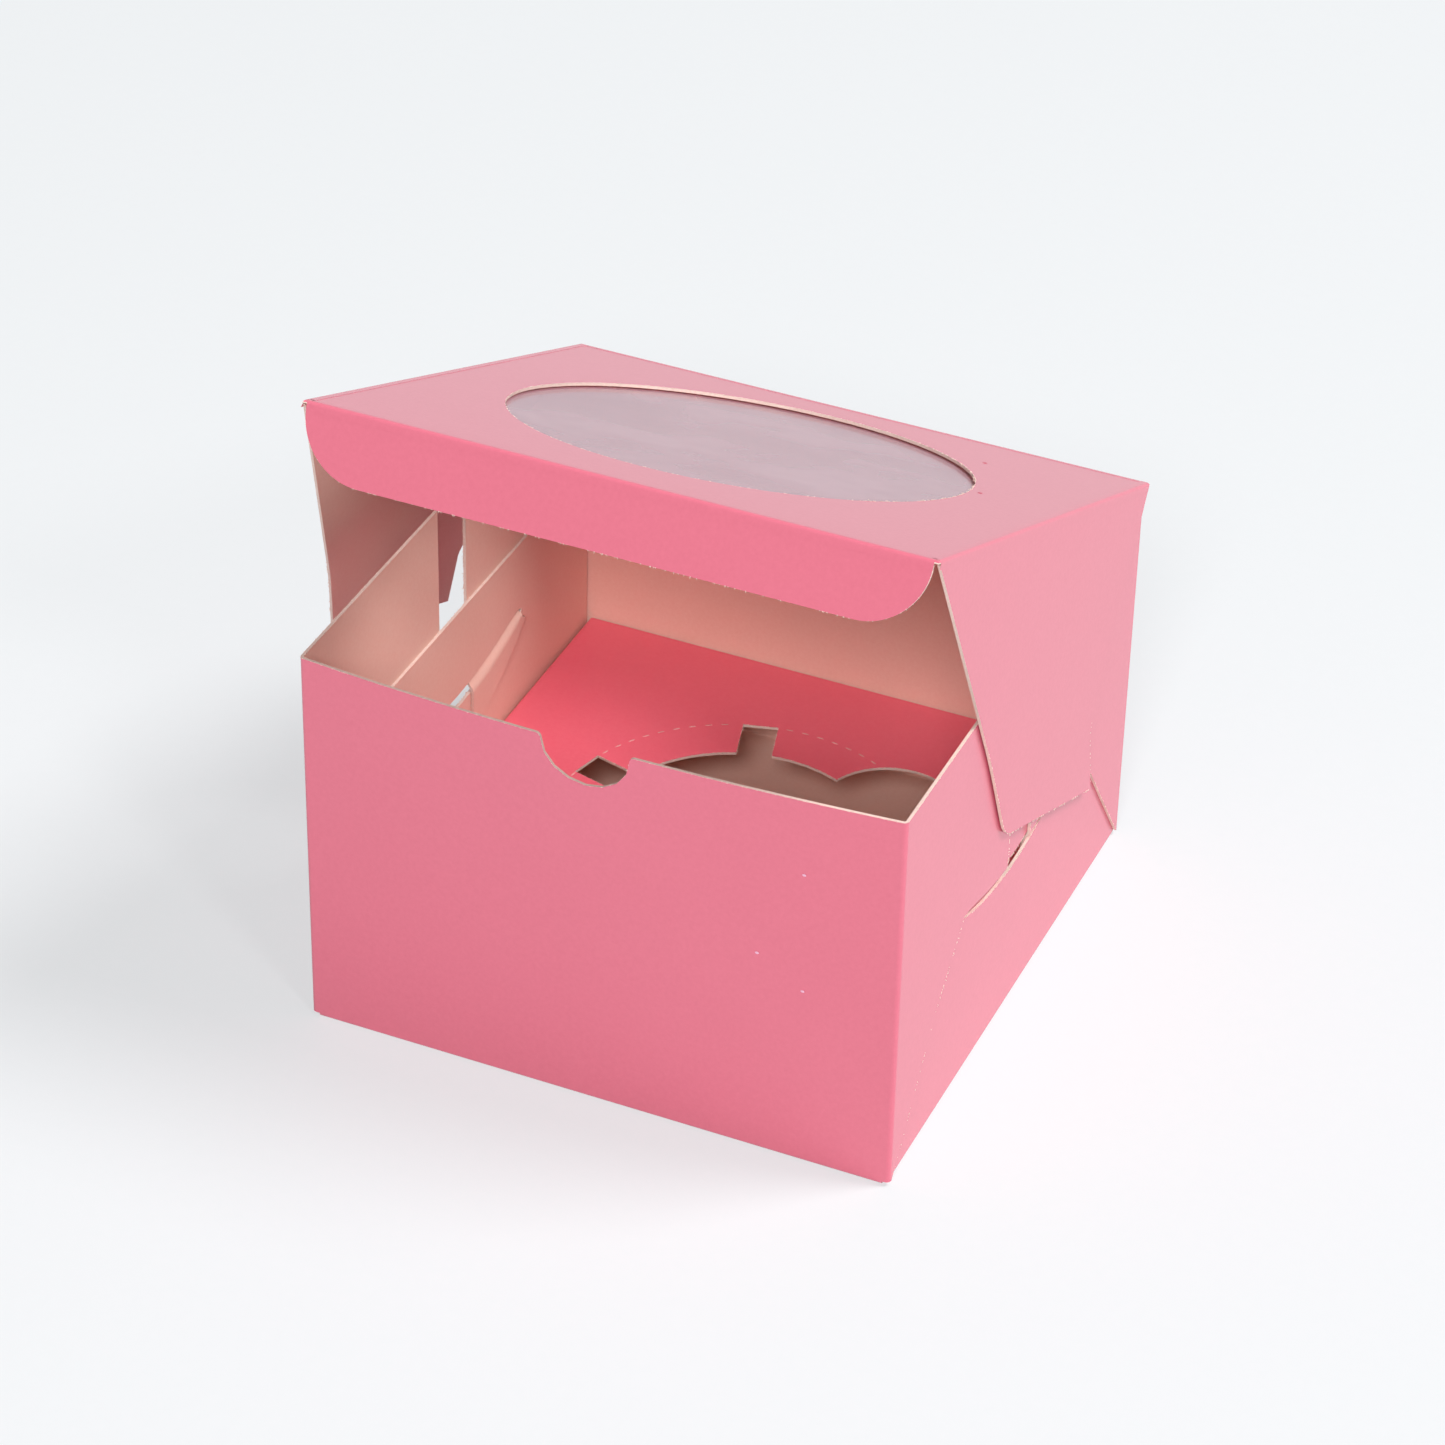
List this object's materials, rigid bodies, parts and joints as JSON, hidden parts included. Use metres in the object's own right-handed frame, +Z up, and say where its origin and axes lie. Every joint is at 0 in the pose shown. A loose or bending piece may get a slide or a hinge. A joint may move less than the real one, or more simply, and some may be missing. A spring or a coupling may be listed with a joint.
{
  "type": "windowed cupcake box",
  "caption": "Folding card box for a single cupcake, with a hinged lid that has a round film window, locking side ears and a loose folded insert that holds the cake.",
  "frame": {"origin": "centre of the base's underside, on the surface the box stands on", "axes": "+Z up, +X to the right seen from the front, the front wall with the thumb notch faces -Y and the lid's hinge is at +Y"},
  "size_m": [0.1327, 0.1167, 0.1252],
  "materials": {
    "carton_board": "satin",
    "insert_board": "satin",
    "lid_board": "satin",
    "window_film": "gloss"
  },
  "bodies": {
    "tray": {"carton_tray": "carton_board", "cupcake_insert": "insert_board"},
    "lid": {"lid_panel": "lid_board", "window_film": "window_film"},
    "front_flap": {"lid_front_flap": "lid_board"},
    "right_flap": {"lid_side_flap_right": "lid_board"},
    "left_flap": {"lid_side_flap_left": "lid_board"}
  },
  "joints": [
    {"name": "lid_hinge", "type": "hinge", "parent": "tray", "child": "lid", "pos_m": [0, 0.0571, 0.07845], "axis": [-1, 0, 0], "range_deg": [-23.5, 156.5]},
    {"name": "front_flap_fold", "type": "hinge", "parent": "lid", "child": "front_flap", "pos_m": [0, -0.05079, 0.12536], "axis": [-1, 0, 0], "range_deg": [0, 90]},
    {"name": "right_flap_fold", "type": "hinge", "parent": "lid", "child": "right_flap", "pos_m": [0.05685, 0.0571, 0.07845], "axis": [0, -0.9171, 0.3987], "range_deg": [0, 90]},
    {"name": "left_flap_fold", "type": "hinge", "parent": "lid", "child": "left_flap", "pos_m": [-0.05685, 0.0571, 0.07845], "axis": [0, 0.9171, -0.3987], "range_deg": [-19, 71]}
  ]
}
